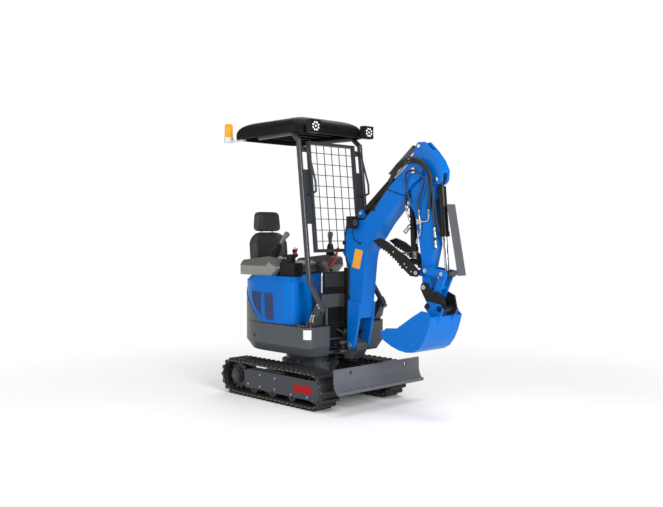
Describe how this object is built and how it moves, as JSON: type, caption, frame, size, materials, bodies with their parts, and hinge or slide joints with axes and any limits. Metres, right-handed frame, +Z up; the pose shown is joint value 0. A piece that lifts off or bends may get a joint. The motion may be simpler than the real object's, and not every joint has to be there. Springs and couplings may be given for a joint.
{
  "type": "mini excavator",
  "caption": "Compact rubber-tracked digger with a canopy, swing boom, arm, bucket, thumb and dozer blade, for digging and grading in tight places.",
  "frame": {"origin": "under the middle of the machine over all, on the ground", "axes": "+X forward, towards the dozer blade, +Y to the left, +Z up"},
  "size_m": [2.236, 0.93, 2.2368],
  "materials": {
    "frame_grey": "satin",
    "rubber": "matte",
    "steel": "satin",
    "black_paint": "gloss",
    "chrome": "polished",
    "blue_paint": "gloss",
    "dark_blue": "satin",
    "cast": "rough",
    "black_plastic": "matte",
    "light_grey": "satin",
    "seat_cover": "soft",
    "console": "matte",
    "red_paint": "gloss",
    "white_plastic": "gloss",
    "amber": "clear"
  },
  "bodies": {
    "undercarriage": {"lower_frame": "frame_grey", "track_frame_right": "frame_grey", "track_frame_left": "frame_grey", "track_right": "rubber", "track_left": "rubber", "track_wheels_right": "steel", "track_wheels_left": "steel"},
    "blade": {"dozer_blade": "frame_grey"},
    "blade_barrel": {"blade_barrel": "black_paint"},
    "blade_rod": {"blade_rod": "chrome"},
    "house": {"house_frame": "frame_grey", "engine_hood": "blue_paint", "hood_grilles": "dark_blue", "engine_block": "cast", "floor_deck": "black_paint", "knee_panel": "black_plastic", "toe_panel": "light_grey", "seat": "seat_cover", "headrest": "seat_cover", "console_right": "console", "console_left": "console", "joysticks": "black_plastic", "lock_levers": "red_paint", "canopy_posts": "black_paint", "window_guard": "black_paint", "canopy_roof": "black_plastic", "roof_lamps": "black_plastic", "beacon_base": "white_plastic", "beacon_lens": "amber", "grab_handles": "black_paint"},
    "swing": {"swing_bracket": "frame_grey"},
    "swing_barrel": {"swing_barrel": "black_paint"},
    "swing_rod": {"swing_rod": "chrome"},
    "boom": {"boom": "blue_paint", "boom_lamp": "black_plastic"},
    "boom_barrel": {"boom_barrel": "black_paint"},
    "boom_rod": {"boom_rod": "chrome"},
    "arm": {"arm": "blue_paint"},
    "arm_barrel": {"arm_barrel": "black_paint"},
    "arm_rod": {"arm_rod": "chrome", "arm_guard": "frame_grey"},
    "thumb": {"thumb": "black_paint"},
    "thumb_barrel": {"thumb_barrel": "black_paint"},
    "thumb_rod": {"thumb_rod": "chrome"},
    "rocker": {"rocker_links": "blue_paint"},
    "link": {"bucket_link": "blue_paint"},
    "bucket_barrel": {"bucket_barrel": "black_paint"},
    "bucket_rod": {"bucket_rod": "chrome", "bucket_guard": "frame_grey"},
    "bucket": {"quick_coupler": "black_paint", "bucket": "blue_paint"}
  },
  "joints": [
    {"name": "slew_turn", "type": "hinge", "parent": "undercarriage", "child": "house", "pos_m": [-0.388, 0, 0.34], "axis": [0, 0, 1], "continuous": true},
    {"name": "swing_pivot", "type": "hinge", "parent": "house", "child": "swing", "pos_m": [0.052, 0, 0.43], "axis": [0, 0, 1], "range_deg": [-55, 50]},
    {"name": "boom_pivot", "type": "hinge", "parent": "swing", "child": "boom", "pos_m": [0.132, 0, 0.458], "axis": [0, -1, 0], "range_deg": [-92, 3]},
    {"name": "arm_pivot", "type": "hinge", "parent": "boom", "child": "arm", "pos_m": [0.747, 0, 1.755], "axis": [0, 1, 0], "range_deg": [-100, 0]},
    {"name": "bucket_pivot", "type": "hinge", "parent": "arm", "child": "bucket", "pos_m": [0.835, 0, 0.933], "axis": [0, -1, 0], "range_deg": [-30, 80]},
    {"name": "thumb_pivot", "type": "hinge", "parent": "arm", "child": "thumb", "pos_m": [0.792, 0, 1.034], "axis": [0, -1, 0], "range_deg": [0, 72]},
    {"name": "blade_pivot", "type": "hinge", "parent": "undercarriage", "child": "blade", "pos_m": [-0.038, 0, 0.19], "axis": [0, -1, 0], "range_deg": [-42, 6]},
    {"name": "boom_barrel_pivot", "type": "hinge", "parent": "swing", "child": "boom_barrel", "pos_m": [0.024, 0, 0.548], "axis": [0, 1, 0], "range_deg": [-3.33, 93.23]},
    {"name": "boom_rod_slide", "type": "slide", "parent": "boom_barrel", "child": "boom_rod", "axis": [0.0049, 0, 1], "range_m": [-0.0077, 0.20658]},
    {"name": "arm_barrel_pivot", "type": "hinge", "parent": "boom", "child": "arm_barrel", "pos_m": [0.197, 0, 1.462], "axis": [0, 1, 0], "range_deg": [-4.92, 0.3]},
    {"name": "arm_rod_slide", "type": "slide", "parent": "arm_barrel", "child": "arm_rod", "axis": [0.7769, 0, 0.6296], "range_m": [-0.27174, 0.001]},
    {"name": "thumb_barrel_pivot", "type": "hinge", "parent": "arm", "child": "thumb_barrel", "pos_m": [0.674, 0, 1.53], "axis": [0, 1, 0], "range_deg": [-0.3, 3.93]},
    {"name": "thumb_rod_slide", "type": "slide", "parent": "thumb_barrel", "child": "thumb_rod", "axis": [0.0547, 0, -0.9985], "range_m": [-0.001, 0.14187]},
    {"name": "blade_barrel_pivot", "type": "hinge", "parent": "undercarriage", "child": "blade_barrel", "pos_m": [-0.088, 0, 0.3], "axis": [0, 1, 0], "range_deg": [-5.12, 34.08]},
    {"name": "blade_rod_slide", "type": "slide", "parent": "blade_barrel", "child": "blade_rod", "axis": [0.9953, 0, -0.097], "range_m": [-0.01008, 0.06459]},
    {"name": "rocker_pivot", "type": "hinge", "parent": "arm", "child": "rocker", "pos_m": [0.846, 0, 1.05], "axis": [0, 1, 0], "range_deg": [-61.74, 23.34]},
    {"name": "link_pivot", "type": "hinge", "parent": "rocker", "child": "link", "pos_m": [0.99, 0, 1.032], "axis": [0, 1, 0], "range_deg": [-17.81, 46.99]},
    {"name": "bucket_barrel_pivot", "type": "hinge", "parent": "arm", "child": "bucket_barrel", "pos_m": [0.933, 0, 1.687], "axis": [0, 1, 0], "range_deg": [-1.14, 2.54]},
    {"name": "bucket_rod_slide", "type": "slide", "parent": "bucket_barrel", "child": "bucket_rod", "axis": [0.0867, 0, -0.9962], "range_m": [-0.14377, 0.05454]},
    {"name": "swing_barrel_pivot", "type": "hinge", "parent": "house", "child": "swing_barrel", "pos_m": [-0.368, -0.125, 0.445], "axis": [0, 0, 1], "range_deg": [-1.94, 1.79]},
    {"name": "swing_rod_slide", "type": "slide", "parent": "swing_barrel", "child": "swing_rod", "axis": [0.9996, 0.0273, 0], "range_m": [-0.10062, 0.09157]}
  ],
  "couplings": [
    {"joint": "boom_barrel_pivot", "follows": "boom_pivot", "ratio": -1.0101},
    {"joint": "boom_rod_slide", "follows": "boom_pivot", "m_per_rad": -0.12803},
    {"joint": "arm_barrel_pivot", "follows": "arm_pivot", "ratio": 0.04616},
    {"joint": "arm_rod_slide", "follows": "arm_pivot", "m_per_rad": 0.15512},
    {"joint": "thumb_barrel_pivot", "follows": "thumb_pivot", "ratio": 0.05045},
    {"joint": "thumb_rod_slide", "follows": "thumb_pivot", "m_per_rad": 0.1121},
    {"joint": "blade_barrel_pivot", "follows": "blade_pivot", "ratio": -0.80422},
    {"joint": "blade_rod_slide", "follows": "blade_pivot", "m_per_rad": -0.08675},
    {"joint": "rocker_pivot", "follows": "bucket_pivot", "ratio": -0.76801},
    {"joint": "link_pivot", "follows": "bucket_pivot", "ratio": 0.58361},
    {"joint": "bucket_barrel_pivot", "follows": "bucket_pivot", "ratio": 0.02805},
    {"joint": "bucket_rod_slide", "follows": "bucket_pivot", "m_per_rad": -0.10225},
    {"joint": "swing_barrel_pivot", "follows": "swing_pivot", "ratio": 0.02974},
    {"joint": "swing_rod_slide", "follows": "swing_pivot", "m_per_rad": 0.10378}
  ]
}
